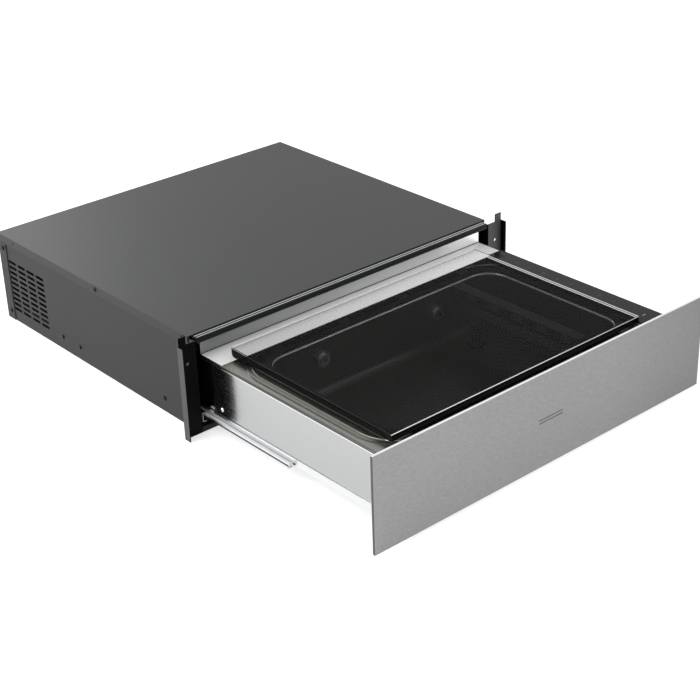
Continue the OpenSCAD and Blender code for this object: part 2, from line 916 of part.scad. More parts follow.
// Section of the drawn chamber from a corner's centre outwards: floor, fillet, wall, rolled edge,
// rim and bead
module chamber_section() {
    t = chamber_t;
    turn_z = chamber_in_low + floor_r;
    turn_x = corner_r - floor_r;
    edge_x = corner_r + bend_r;
    edge_z = drawer_top - bend_r;
    square_w = corner_r - floor_r;
    translate([0, chamber_low])
        square([square_w, t]);
    intersection() {
        difference() {
            translate([turn_x, turn_z])
                circle(r = floor_r + t);
            translate([turn_x, turn_z])
                circle(r = floor_r);
        }
        translate([turn_x, chamber_low])
            square([floor_r + t, floor_r + t]);
    }
    translate([corner_r, turn_z])
        square([t, edge_z - turn_z]);
    intersection() {
        difference() {
            translate([edge_x, edge_z])
                circle(r = bend_r);
            translate([edge_x, edge_z])
                circle(r = bend_r - t);
        }
        translate([corner_r, edge_z])
            square([bend_r, bend_r]);
    }
    translate([edge_x, drawer_top - t])
        square([rim_w - bend_r, t]);
    intersection() {
        translate([corner_r + bead_at, drawer_top])
            circle(r = bead_r);
        translate([corner_r, drawer_top - t / 2])
            square([rim_w, bead_r + t]);
    }
}

// Deep-drawn vacuum chamber with round corners and a flat rim, drilled for its two ports
module vacuum_chamber() {
    color("#8f9192")
        in_drawer()
            translate([-chamber_shift, chamber_mid_y, 0])
                difference() {
                    union() {
                        round_sweep(chamber_w, chamber_d, corner_r)
                            chamber_section();
                        block([-chamber_w / 2 + corner_r, -chamber_d / 2 + corner_r, chamber_low],
                              [chamber_w / 2 - corner_r, chamber_d / 2 - corner_r, chamber_in_low]);
                    }
                    for (i = [0, 1])
                        bar_along_y(port_r + fit, chamber_d / 2 - past, chamber_d / 2 + chamber_t + past,
                                    port_x[i] + chamber_shift, port_z[i]);
                }
}

// Hexagon fittings in the chamber's rear wall, each with a drilled stem
module chamber_ports() {
    wall = chamber_front + chamber_d;
    color("#b8babb")
        in_drawer()
            for (i = [0, 1])
                difference() {
                    union() {
                        translate([port_x[i], wall, port_z[i]])
                            rotate([90, 30, 0])
                                cylinder(r = 12.5, h = 6, $fn = 6);
                        bar_along_y(8, wall - 10, wall - 6 + past, port_x[i], port_z[i]);
                        bar_along_y(port_r, wall - past, port_rear, port_x[i], port_z[i]);
                    }
                    bar_along_y(port_r - 1.5, wall - 10 - past, port_rear + past, port_x[i], port_z[i]);
                }
}

// Black touch glass beside the lid
module touch_glass() {
    color("#161718")
        in_drawer()
            block([touch_in, touch_front, frame_top], [touch_out, touch_rear, frame_top + touch_t]);
}

// Control board with its touch springs and spacers
module control_board() {
    color("#2f6b45")
        in_drawer() {
            block([touch_in + 1, touch_y(touch_count - 1) - 14, board_top - board_t],
                  [drawer_in - 1, touch_y(0) + 14, board_top]);
            for (i = [0 : touch_count - 1])
                bar_along_z(sensor_r, board_top - past / 2, frame_top, touch_mid, touch_y(i));
            for (y = [touch_y(touch_count - 1) - 11, touch_y(0) + 11])
                bar_along_z(3, board_top - past / 2, frame_low, touch_mid, y);
        }
}

// Hinge shaft, held by the brackets on the deck
module hinge_shaft() {
    color("#a5a7a9")
        in_drawer()
            bar_along_x(shaft_r, lid_x - shaft_l / 2, lid_x + shaft_l / 2, hinge_y, hinge_z);
}

// Where a hinge bracket starts, beside its arm
function bracket_x(i) = hinge_x[i] + arm_w / 2 + clear;

// Upright hinge brackets with feet on the deck
module hinge_brackets() {
    color("#8a8c8e")
        in_drawer()
            for (i = [0 : 3]) {
                x = bracket_x(i);
                difference() {
                    union() {
                        bar_along_x(bracket_r, x, x + hinge_bracket_w, hinge_y, hinge_z);
                        block([x, hinge_y - bracket_r, frame_top],
                              [x + hinge_bracket_w, hinge_y + bracket_r, hinge_z]);
                    }
                    bar_along_x(shaft_r, x - past, x + hinge_bracket_w + past, hinge_y, hinge_z);
                }
            }
}

// The two lifting cylinders on the chamber's floor
module seal_cylinders() {
    color("#9b9d9f")
        in_drawer()
            for (y = bar_y)
                difference() {
                    union() {
                        bar_along_z(cylinder_r, chamber_in_low, cylinder_top, bar_x, y);
                        bar_along_z(cylinder_r + 4, chamber_in_low, chamber_in_low + 3, bar_x, y);
                    }
                    bar_along_z(rod_r + fit, rod_low - past, cylinder_top + past, bar_x, y);
                }
}

// Sealing bar with its two rods and a groove along each side
module sealing_bar() {
    half = bar_w / 2;
    color("#8e8f92")
        in_drawer() {
            difference() {
                block([bar_x - half, chamber_mid_y - bar_l / 2, bar_low],
                      [bar_x + half, chamber_mid_y + bar_l / 2, bar_top]);
                for (x = [bar_x - half - past, bar_x + half - 2])
                    block([x, chamber_mid_y - bar_l / 2 - past, bar_low + 5],
                          [x + 2 + past, chamber_mid_y + bar_l / 2 + past, bar_low + 8]);
            }
            for (y = bar_y)
                bar_along_z(rod_r, rod_low, bar_low + past, bar_x, y);
        }
}

// Heat-proof tape over the heating wire
module sealing_tape() {
    half = bar_w / 2 - 4;
    color("#7a6a52")
        in_drawer()
            block([bar_x - half, chamber_mid_y - bar_l / 2 + 2, bar_top],
                  [bar_x + half, chamber_mid_y + bar_l / 2 - 2, bar_top + tape_t]);
}

// Tinted glass of the lid with a bevelled front edge
module glass_lid() {
    bevel = 1.2;
    color("#1c1b1b")
        in_drawer()
            translate([lid_x - lid_half, 0, 0])
                rotate([90, 0, 90])
                    linear_extrude(lid_w)
                        polygon([[lid_front, glass_low], [glass_rear, glass_low], [glass_rear, glass_top],
                                 [lid_front + bevel, glass_top], [lid_front, glass_top - bevel]]);
}

// Section of the lid's seal from a corner's centre outwards: a flat back and two lips
module seal_section() {
    start = corner_r + seal_in;
    lip_r = 0.9;
    translate([start, glass_low - 1.2])
        square([seal_w, 1.2]);
    for (u = [start + 1.6, start + seal_w - 1.6]) {
        translate([u, seal_low + lip_r])
            circle(r = lip_r);
        translate([u - lip_r, seal_low + lip_r])
            square([2 * lip_r, glass_low - seal_low - lip_r]);
    }
}

// Rubber seal under the glass, round the chamber's opening
module lid_seal() {
    color("#0f0f10")
        in_drawer()
            translate([-chamber_shift, chamber_mid_y, 0])
                round_sweep(chamber_w, chamber_d, corner_r)
                    seal_section();
}

// Silicone strip that the bag is pressed against
module counter_bar() {
    color("#9c4a32")
        in_drawer()
            block([bar_x - counter_w / 2, chamber_mid_y - bar_l / 2, counter_low],
                  [bar_x + counter_w / 2, chamber_mid_y + bar_l / 2, counter_low + 4]);
}

// Aluminium channel under the glass that holds the silicone strip
module counter_bar_carrier() {
    half = counter_w / 2;
    window_l = 32;
    window_pitch = 44;
    window_y = chamber_mid_y - bar_l / 2 + 12;
    color("#b5b7b9")
        in_drawer()
            difference() {
                block([bar_x - half - 2, chamber_mid_y - bar_l / 2, counter_low + 2],
                      [bar_x + half + 2, chamber_mid_y + bar_l / 2, seal_top]);
                block([bar_x - half, chamber_mid_y - bar_l / 2 - past, counter_low],
                      [bar_x + half, chamber_mid_y + bar_l / 2 + past, counter_low + 4]);
                for (i = [0 : 4])
                    block([bar_x - half - 2 - past, window_y + i * window_pitch, counter_low + 7],
                          [bar_x + half + 2 + past, window_y + window_l + i * window_pitch, seal_top - 2]);
            }
}

// Section of the hinge rail: a flat top over the glass and a round-edged rear wall
module rail_section() {
    edge_r = 2;
    low = hinge_z - 2;
    translate([lid_rear, rail_low])
        square([rail_d - edge_r, rail_t]);
    translate([rail_rear - rail_t, low])
        square([rail_t, rail_top - edge_r - low]);
    difference() {
        intersection() {
            translate([rail_rear - edge_r, rail_top - edge_r])
                circle(r = edge_r);
            translate([rail_rear - edge_r, rail_top - edge_r])
                square(edge_r);
        }
        translate([rail_rear - edge_r, rail_top - edge_r])
            circle(r = edge_r - rail_t);
    }
}

// Stainless rail over the hinge, notched where it swings past the brackets
module hinge_rail() {
    color("#c4c5c3")
        in_drawer()
            difference() {
                translate([lid_x - lid_half, 0, 0])
                    rotate([90, 0, 90])
                        linear_extrude(lid_w)
                            rail_section();
                for (i = [0 : 3])
                    block([bracket_x(i) - 0.2, rail_rear - rail_t - past, hinge_z - knuckle_r],
                          [bracket_x(i) + hinge_bracket_w + 0.2, rail_rear + past, rail_low - 1]);
            }
}

// Black caps in the rail's ends, each with a slot and a screw recess
module rail_end_caps() {
    rear = rail_rear - rail_t;
    corner = 0.9;
    color("#121213")
        in_drawer()
            translate([lid_x, 0, 0])
                for (s = [-1, 1])
                    on_side(s)
                        difference() {
                            union() {
                                block([lid_half - cap_t, glass_rear, hinge_z - 3],
                                      [lid_half, rear, rail_low - corner]);
                                block([lid_half - cap_t, glass_rear, hinge_z - 3],
                                      [lid_half, rear - corner, rail_low]);
                            }
                            bar_along_x(1.3, lid_half - 1.2, lid_half + past, hinge_y + 0.6, hinge_z - 0.4);
                            block([lid_half - 1, rear - 3.4, rail_low - 3.2],
                                  [lid_half + past, rear - 2.2, rail_low - 0.8]);
                        }
}

// Arms glued under the glass that turn on the hinge shaft
module hinge_arms() {
    color("#77797b")
        in_drawer()
            for (x = hinge_x)
                difference() {
                    union() {
                        block([x - arm_w / 2, lid_rear - 1, tongue_low],
                              [x + arm_w / 2, glass_rear + past, glass_low]);
                        block([x - arm_w / 2, glass_rear, tongue_low], [x + arm_w / 2, hinge_y, rail_low]);
                        bar_along_x(knuckle_r, x - arm_w / 2, x + arm_w / 2, hinge_y, hinge_z);
                    }
                    bar_along_x(shaft_r + fit, x - arm_w / 2 - past, x + arm_w / 2 + past, hinge_y, hinge_z);
                }
}

// Cast pump head with upright ribs on its front and a hose stub
module pump_head() {
    top = foot_top + head_h;
    front = room_mid - head_d / 2;
    color("#7d8082")
        in_drawer()
            difference() {
                union() {
                    block([head_x, front + 4, foot_top], [head_x + head_w, front + head_d, top]);
                    block([head_x + 6, front + 10, top - past],
                          [head_x + head_w - 6, front + head_d - 10, top + 3]);
                    for (i = [0 : 8])
                        block([head_x + i * 9.5, front, foot_top + 4],
                              [head_x + i * 9.5 + 4, front + 4 + past, top - 4]);
                    bar_along_y(10, front - 3, front + 4 + past, port_x[0], port_z[0]);
                    bar_along_y(port_r, front - 14, front, port_x[0], port_z[0]);
                }
                bar_along_y(port_r - 1.5, front - 14 - past, front + 6, port_x[0], port_z[0]);
            }
}

// Finned motor beside the pump head, with its foot
module pump_motor() {
    x0 = head_x + head_w;
    axis_z = foot_top + motor + 3;
    color("#5a6064")
        in_drawer() {
            bar_along_x(motor - 4, x0, x0 + motor_l - 8, room_mid, axis_z);
            for (i = [0 : 11])
                bar_along_x(motor, x0 + 4 + i * 9, x0 + 7 + i * 9, room_mid, axis_z);
            bar_along_x(motor - 8, x0 + motor_l - 8 - past, x0 + motor_l, room_mid, axis_z);
            block([x0 + motor_l / 2 - 20, room_mid - 2 * motor / 3, foot_top],
                  [x0 + motor_l / 2 + 20, room_mid + 2 * motor / 3, axis_z - motor / 2]);
        }
}

// Rubber feet under the pump head and the motor
module pump_feet() {
    x0 = head_x + head_w;
    foot_r = min(8, 0.43 * motor - 1);
    color("#1e1e1f")
        in_drawer() {
            for (x = [head_x + 12, x0 - 12], y = [14 - head_d / 2, head_d / 2 - 14])
                bar_along_z(foot_r, floor_top, foot_top, x, room_mid + y);
            for (y = [-0.43 * motor, 0.43 * motor])
                bar_along_z(foot_r, floor_top, foot_top, x0 + motor_l / 2, room_mid + y);
        }
}

// Exhaust filter, carried by its stub on the pump head
module exhaust_filter() {
    x = head_x - filter_r - 15;
    top = foot_top + filter_h;
    color("#c7c2b2")
        in_drawer() {
            bar_along_z(filter_r, foot_top, top - 18, x, room_mid);
            bar_along_z(filter_r + 2, top - 18 - past, top - 6, x, room_mid);
            bar_along_z(6, top - 6 - past, top, x, room_mid);
            bar_along_x(8, x + 10, head_x, room_mid, foot_top + filter_h / 2);
        }
}

// Hose from the chamber's left port to the pump, with a clamp at each end
module suction_hose() {
    y0 = port_rear - 12;
    y1 = room_mid - head_d / 2 - 3;
    color("#2a2c2e")
        in_drawer()
            difference() {
                union() {
                    bar_along_y(hose_r, y0, y1, port_x[0], port_z[0]);
                    bar_along_y(hose_r + 1.2, y0 + 2, y0 + 8, port_x[0], port_z[0]);
                    bar_along_y(hose_r + 1.2, y1 - 8, y1 - 2, port_x[0], port_z[0]);
                }
                bar_along_y(hose_bore_r, y0 - past, y1 + past, port_x[0], port_z[0]);
            }
}

// Vent valve on the chamber's right port
module vent_valve() {
    y0 = port_rear - 13;
    x = port_x[1];
    z = port_z[1];
    color("#34383c")
        in_drawer()
            difference() {
                union() {
                    block([x - 12, y0, z - 12], [x + 12, port_rear + 8, z + 12]);
                    bar_along_y(10, port_rear + 8 - past, port_rear + 34, x, z);
                    bar_along_z(4, z - 20, z - 12 + past, x, y0 + 8);
                }
                bar_along_y(port_r, y0 - past, port_rear, x, z);
            }
}

// Transformer: laminated core with two windows and a wound coil
module transformer() {
    w = transformer_w;
    h = transformer_h;
    leg = 14;
    core_half = 15;
    color("#4e4a44")
        in_drawer()
            translate([transformer_x, room_mid, floor_top]) {
                difference() {
                    block([-w / 2, -core_half, 0], [w / 2, core_half, h]);
                    for (s = [-1, 1])
                        on_side(s)
                            block([leg / 2 + 2, -core_half - past, leg],
                                  [w / 2 - leg, core_half + past, h - leg]);
                }
                translate([0, 0, leg])
                    linear_extrude(h - 2 * leg)
                        rounded_rect(w - 2 * leg, coil_d, 8);
            }
}

// Power board with its capacitors, relays and ribbed heat sink
module power_board() {
    z = floor_top + post_h;
    color("#3b7a4a")
        in_drawer()
            translate([board_x, room_mid, z]) {
                block([-board_half, -board_half_d, 0], [board_half, board_half_d, board_t]);
                for (x = [-30, -12])
                    bar_along_z(8, board_t - past / 2, 32, x, 18 - board_half_d);
                for (x = [10, 28])
                    block([x - 7, 6 - board_half_d, board_t - past / 2], [x + 7, 30 - board_half_d, 17]);
                block([-36, board_half_d - 30, board_t - past / 2], [36, board_half_d - 10, 6]);
                for (i = [0 : 7])
                    block([-36 + i * 10, board_half_d - 30, 5], [-34 + i * 10, board_half_d - 10, 34]);
            }
}

// Posts under the power board
module board_posts() {
    inset = 5;
    color("#c9c9c0")
        in_drawer()
            for (x = [inset - board_half, board_half - inset],
                 y = [inset - board_half_d, board_half_d - inset])
                bar_along_z(3, floor_top, floor_top + post_h, board_x + x, room_mid + y);
}

// Square frame of the cooling fan, with posts to the drawer's side and a bearing on four struts
module fan_frame() {
    half = fan_half;
    outer = -drawer_in + fan_gap;
    inner = outer + fan_t;
    color("#17181a")
        in_drawer()
            translate([0, room_mid, fan_z])
                difference() {
                    union() {
                        difference() {
                            block([outer, -half, -half], [inner, half, half]);
                            bar_along_x(half - 2, outer - past, inner + past, 0, 0);
                        }
                        for (y = [-1, 1], z = [-1, 1])
                            bar_along_x(4, -drawer_in, outer + past, y * (half - 6), z * (half - 6));
                        bar_along_x(14, inner - 3, inner, 0, 0);
                        for (a = [0 : 3])
                            rotate([45 + a * 90, 0, 0])
                                block([inner - 3, 12, -2], [inner, half - 1, 2]);
                    }
                    bar_along_x(fan_pin_r + fit, inner - 3 - past, inner + past, 0, 0);
                }
}

// Fan rotor: hub, pin and pitched blades trimmed to a circle
module fan_rotor() {
    outer = -drawer_in + fan_gap + 2;
    inner = -drawer_in + fan_gap + fan_t - 3 - clear;
    tip = fan_half - 3.5;
    color("#2b2c2f")
        in_drawer()
            translate([0, room_mid, fan_z]) {
                bar_along_x(13, outer, inner, 0, 0);
                bar_along_x(fan_pin_r, inner - past, inner + 3, 0, 0);
                intersection() {
                    bar_along_x(tip, outer + past, inner - past, 0, 0);
                    for (i = [0 : fan_blades - 1])
                        rotate([i * 360 / fan_blades, 0, 0])
                            translate([(outer + inner) / 2, 0, 0])
                                rotate([0, 0, 35])
                                    block([-12, -0.8, 11], [12, 0.8, tip + past]);
                }
            }
}

// Catch under the drawer's floor that the latch's plunger pushes
module drawer_catch() {
    color("#b0b2b4")
        in_drawer() {
            block([-12, catch_face - catch_t, plunger_z - plunger_r], [12, catch_face, floor_low]);
            block([-12, catch_face - 18, floor_low - 1.5], [12, catch_face, floor_low]);
        }
}

// One button-head screw in each drawer side
module drawer_rivets() {
    color("#d5d6d6")
        in_drawer()
            for (s = [-1, 1])
                on_side(s) {
                    bar_along_x(screw_r, drawer_in - 2, dw + 0.5, room_front - rivet_to_room, rivet_z);
                    translate([dw, room_front - rivet_to_room, rivet_z])
                        rotate([0, 90, 0])
                            cylinder(r1 = 3.4, r2 = 2, h = 1.6);
                }
}

casing_base();
left_casing_side();
right_casing_side();
top_cover();
rear_panel();
front_trim();
front_sill();
left_bracket();
right_bracket();
casing_screws();
left_fixed_rail();
right_fixed_rail();
latch_housing();
latch_plunger();
mains_inlet();
inlet_contacts();
left_middle_rail();
right_middle_rail();
front_panel();
panel_backing();
drawer_front_wall();
left_drawer_side();
right_drawer_side();
drawer_floor();
drawer_rear_wall();
compartment_cover();
top_frame();
left_drawer_rail();
right_drawer_rail();
vacuum_chamber();
chamber_ports();
touch_glass();
control_board();
hinge_shaft();
hinge_brackets();
seal_cylinders();
pump_head();
pump_motor();
pump_feet();
exhaust_filter();
suction_hose();
vent_valve();
transformer();
power_board();
board_posts();
fan_frame();
fan_rotor();
drawer_catch();
drawer_rivets();
sealing_bar();
sealing_tape();
glass_lid();
lid_seal();
counter_bar();
counter_bar_carrier();
hinge_rail();
rail_end_caps();
hinge_arms();
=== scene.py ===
"""Looks of the vacuum sealing drawer: finishes, rounded edges and thin trim round the CAD frame."""
import json
import math

import bmesh
import bpy
from mathutils import Matrix, Vector

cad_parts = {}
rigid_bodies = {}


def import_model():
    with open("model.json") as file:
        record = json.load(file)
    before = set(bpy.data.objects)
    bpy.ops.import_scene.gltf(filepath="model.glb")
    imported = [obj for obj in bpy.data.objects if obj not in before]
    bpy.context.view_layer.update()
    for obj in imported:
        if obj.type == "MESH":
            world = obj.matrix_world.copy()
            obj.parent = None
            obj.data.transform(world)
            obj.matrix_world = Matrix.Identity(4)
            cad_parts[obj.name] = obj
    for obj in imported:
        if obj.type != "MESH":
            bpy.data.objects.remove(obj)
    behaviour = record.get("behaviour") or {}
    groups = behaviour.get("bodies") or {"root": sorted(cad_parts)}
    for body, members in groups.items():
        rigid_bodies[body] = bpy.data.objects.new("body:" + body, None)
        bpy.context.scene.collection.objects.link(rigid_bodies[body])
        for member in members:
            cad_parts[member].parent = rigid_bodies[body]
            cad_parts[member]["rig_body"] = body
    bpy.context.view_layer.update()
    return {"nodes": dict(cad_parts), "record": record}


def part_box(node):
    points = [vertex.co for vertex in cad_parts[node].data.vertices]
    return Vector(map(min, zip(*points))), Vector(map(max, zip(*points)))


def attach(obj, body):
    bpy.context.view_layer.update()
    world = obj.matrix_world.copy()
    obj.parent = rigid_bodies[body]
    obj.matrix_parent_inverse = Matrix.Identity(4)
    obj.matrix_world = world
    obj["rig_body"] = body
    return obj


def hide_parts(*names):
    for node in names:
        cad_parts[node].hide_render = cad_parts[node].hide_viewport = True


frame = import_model()

MM = 0.001

# Rounding: closer points are welded, flatter neighbours merged, and sharper edges rounded
WELD = 0.002 * MM
COPLANAR = math.radians(0.8)
SHARP = math.radians(32)
BEVEL_SEGMENTS = 2

# A face looks along an axis where more than this share of its normal points that way
SQUARE = 0.9
LEVEL = 0.95
DEAD_LEVEL = 0.98

# Prints stand proud of their surface by this much, and reach as far into it
TOUCH_MARK_RISE = 0.02 * MM
PRINT_RISE = 0.03 * MM

# The camera stands where the photograph was taken from
PHOTO_SIZE = 700
FOCAL_PIXELS = 1579.02
SENSOR_MM = 36.0
CAMERA_PLACE = Vector((-1.289669, -1.772005, 1.058857))
CAMERA_AZIMUTH = math.radians(-40.179)
CAMERA_ELEVATION = math.radians(27.424)
CAMERA_ROLL = math.radians(-2.02)

# The world lights the object with a mid grey, and the floor glows only where it is seen or mirrored
WORLD_GREY = 0.45
FLOOR_GLOW = 0.6
FLOOR_HALF = 6.0
FLOOR_DROP = 0.6 * MM


# ---- Procedural finishes ----

class Finish:
    """A Principled material with the procedural nodes that feed it."""

    def __init__(self, name, **constants):
        self.material = bpy.data.materials.new(name)
        self.material.use_nodes = True
        self.tree = self.material.node_tree
        self.shader = self.tree.nodes["Principled BSDF"]
        self.place = self.add("ShaderNodeTexCoord").outputs["Object"]
        for socket, value in constants.items():
            self.shader.inputs[socket.replace("_", " ")].default_value = value

    def add(self, kind, **settings):
        node = self.tree.nodes.new(kind)
        for key, value in settings.items():
            setattr(node, key, value)
        return node

    def link(self, source, target):
        self.tree.links.new(source, target)

    def feed(self, source, socket):
        """Drives one socket of the shader."""
        self.link(source, self.shader.inputs[socket])

    def noise(self, scale, stretch=(1, 1, 1), detail=2.0, roughness=0.5):
        """Noise with so many features to the metre, drawn out along an axis whose stretch is below 1."""
        mapping = self.add("ShaderNodeMapping")
        mapping.inputs["Scale"].default_value = [scale * s for s in stretch]
        texture = self.add("ShaderNodeTexNoise")
        texture.inputs["Scale"].default_value = 1.0
        texture.inputs["Detail"].default_value = detail
        texture.inputs["Roughness"].default_value = roughness
        self.link(self.place, mapping.inputs["Vector"])
        self.link(mapping.outputs["Vector"], texture.inputs["Vector"])
        return texture.outputs["Fac"]

    def spread(self, factor, low, high, near=0.3, far=0.7):
        """Maps a factor from near and far to low and high."""
        node = self.add("ShaderNodeMapRange")
        node.inputs["From Min"].default_value = near
        node.inputs["From Max"].default_value = far
        node.inputs["To Min"].default_value = low
        node.inputs["To Max"].default_value = high
        self.link(factor, node.inputs["Value"])
        return node.outputs["Result"]

    def reach(self, axis, start, end):
        """0 before one place along an axis, 1 past another."""
        parts = self.add("ShaderNodeSeparateXYZ")
        self.link(self.place, parts.inputs["Vector"])
        return self.spread(parts.outputs[axis], 0.0, 1.0, start, end)

    def between(self, factor, colour_a, colour_b):
        """Mixes two colours, each a tuple or another node's output."""
        node = self.add("ShaderNodeMix", data_type="RGBA")
        self.link(factor, node.inputs["Factor"])
        colour_inputs = [socket for socket in node.inputs if socket.type == "RGBA"]
        for socket, colour in zip(colour_inputs, (colour_a, colour_b)):
            if isinstance(colour, bpy.types.NodeSocket):
                self.link(colour, socket)
            else:
                socket.default_value = (*colour, 1.0)
        return next(socket for socket in node.outputs if socket.type == "RGBA")

    def bump(self, height, distance, strength=1.0):
        node = self.add("ShaderNodeBump")
        node.inputs["Distance"].default_value = distance
        node.inputs["Strength"].default_value = strength
        self.link(height, node.inputs["Height"])
        self.feed(node.outputs["Normal"], "Normal")


def shade(colour, factor):
    """The same colour, lighter or darker."""
    return tuple(min(1.0, part * factor) for part in colour)


def painted(name, colour, roughness, gloss=0.3, grain=900):
    """Powder coat or enamel: fine orange peel, faint cloudiness."""
    finish = Finish(name, Metallic=0.0, Specular_IOR_Level=gloss)
    clouds = finish.noise(9, detail=3)
    peel = finish.noise(grain, detail=1)
    finish.feed(finish.between(clouds, shade(colour, 0.94), shade(colour, 1.06)), "Base Color")
    finish.feed(finish.spread(peel, roughness - 0.04, roughness + 0.05), "Roughness")
    finish.bump(peel, 0.04 * MM, 0.5)
    return finish.material


def brushed(name, colour, roughness, along, contrast=0.05, grain=1500, shear=40, uneven=0.03,
            relief=0.35, fade=None):
    """Brushed metal whose fine lines run along one axis.

    Shear is how long the lines are for their width, uneven how much darker the worn patches are, and
    fade another colour, an axis, and where along it that colour sets in and is reached.
    """
    finish = Finish(name, Metallic=1.0)
    stretch = [1.0 / shear if axis == along else 1.0 for axis in "XYZ"]
    lines = finish.noise(grain, stretch, detail=3, roughness=0.65)
    patches = finish.noise(3, detail=2)
    fine = finish.between(lines, shade(colour, 1 - contrast), shade(colour, 1 + contrast))
    worn = finish.between(lines, shade(colour, 1 - contrast - uneven), shade(colour, 1 + contrast - uneven))
    tone = finish.between(patches, fine, worn)
    if fade:
        other, axis, start, end = fade
        far = finish.between(lines, shade(other, 1 - contrast), shade(other, 1 + contrast))
        tone = finish.between(finish.reach(axis, start, end), tone, far)
    finish.feed(tone, "Base Color")
    finish.feed(finish.spread(lines, roughness - 0.06, roughness + 0.06), "Roughness")
    finish.bump(lines, 0.02 * MM, relief)
    return finish.material


def bright_metal(name, colour, roughness, grain=400):
    """Drawn, turned or plated metal with faint cloudy wear."""
    finish = Finish(name, Metallic=1.0)
    clouds = finish.noise(grain, detail=3)
    finish.feed(finish.between(clouds, shade(colour, 0.93), shade(colour, 1.04)), "Base Color")
    finish.feed(finish.spread(clouds, roughness - 0.03, roughness + 0.07), "Roughness")
    finish.bump(clouds, 0.02 * MM, 0.3)
    return finish.material


def cast(name, colour, roughness):
    """Sand-cast metal with a coarse skin."""
    finish = Finish(name, Metallic=0.6)
    skin = finish.noise(700, detail=4, roughness=0.7)
    finish.feed(finish.between(skin, shade(colour, 0.7), shade(colour, 1.15)), "Base Color")
    finish.feed(finish.spread(skin, roughness - 0.1, roughness + 0.1), "Roughness")
    finish.bump(skin, 0.25 * MM, 0.6)
    return finish.material


def moulded(name, colour, roughness, gloss=0.35, grain=1200):
    """Moulded plastic or rubber with a fine sparked grain."""
    finish = Finish(name, Metallic=0.0, Specular_IOR_Level=gloss)
    pits = finish.noise(grain, detail=2)
    clouds = finish.noise(20, detail=2)
    finish.feed(finish.between(clouds, shade(colour, 0.9), shade(colour, 1.1)), "Base Color")
    finish.feed(finish.spread(pits, roughness - 0.06, roughness + 0.06), "Roughness")
    finish.bump(pits, 0.05 * MM, 0.5)
    return finish.material


def glass(name, colour, alpha, roughness, ior):
    """Dark glass: gloss from the surface, with a faint smear of cleaning marks."""
    finish = Finish(name, Metallic=0.0, IOR=ior, Alpha=alpha)
    smear = finish.noise(14, (1, 0.35, 1), detail=4)
    finish.feed(finish.between(smear, shade(colour, 0.9), shade(colour, 1.1)), "Base Color")
    finish.feed(finish.spread(smear, roughness, roughness + 0.01), "Roughness")
    return finish.material


def circuit(name):
    """Green solder mask with pale tracks."""
    finish = Finish(name, Metallic=0.0, Coat_Weight=0.4)
    tracks = finish.noise(260, (1, 0.15, 1), detail=1)
    mask = finish.spread(tracks, 0.0, 1.0, 0.52, 0.56)
    finish.feed(finish.between(mask, (0.02, 0.13, 0.06), (0.05, 0.26, 0.12)), "Base Color")
    finish.feed(finish.spread(tracks, 0.3, 0.5), "Roughness")
    return finish.material


# Where along X painted shade begins to darken the front panel towards its right end, and where it is darkest
PANEL_SHADE_FROM = 100 * MM
PANEL_SHADE_DARKEST_AT = 340 * MM

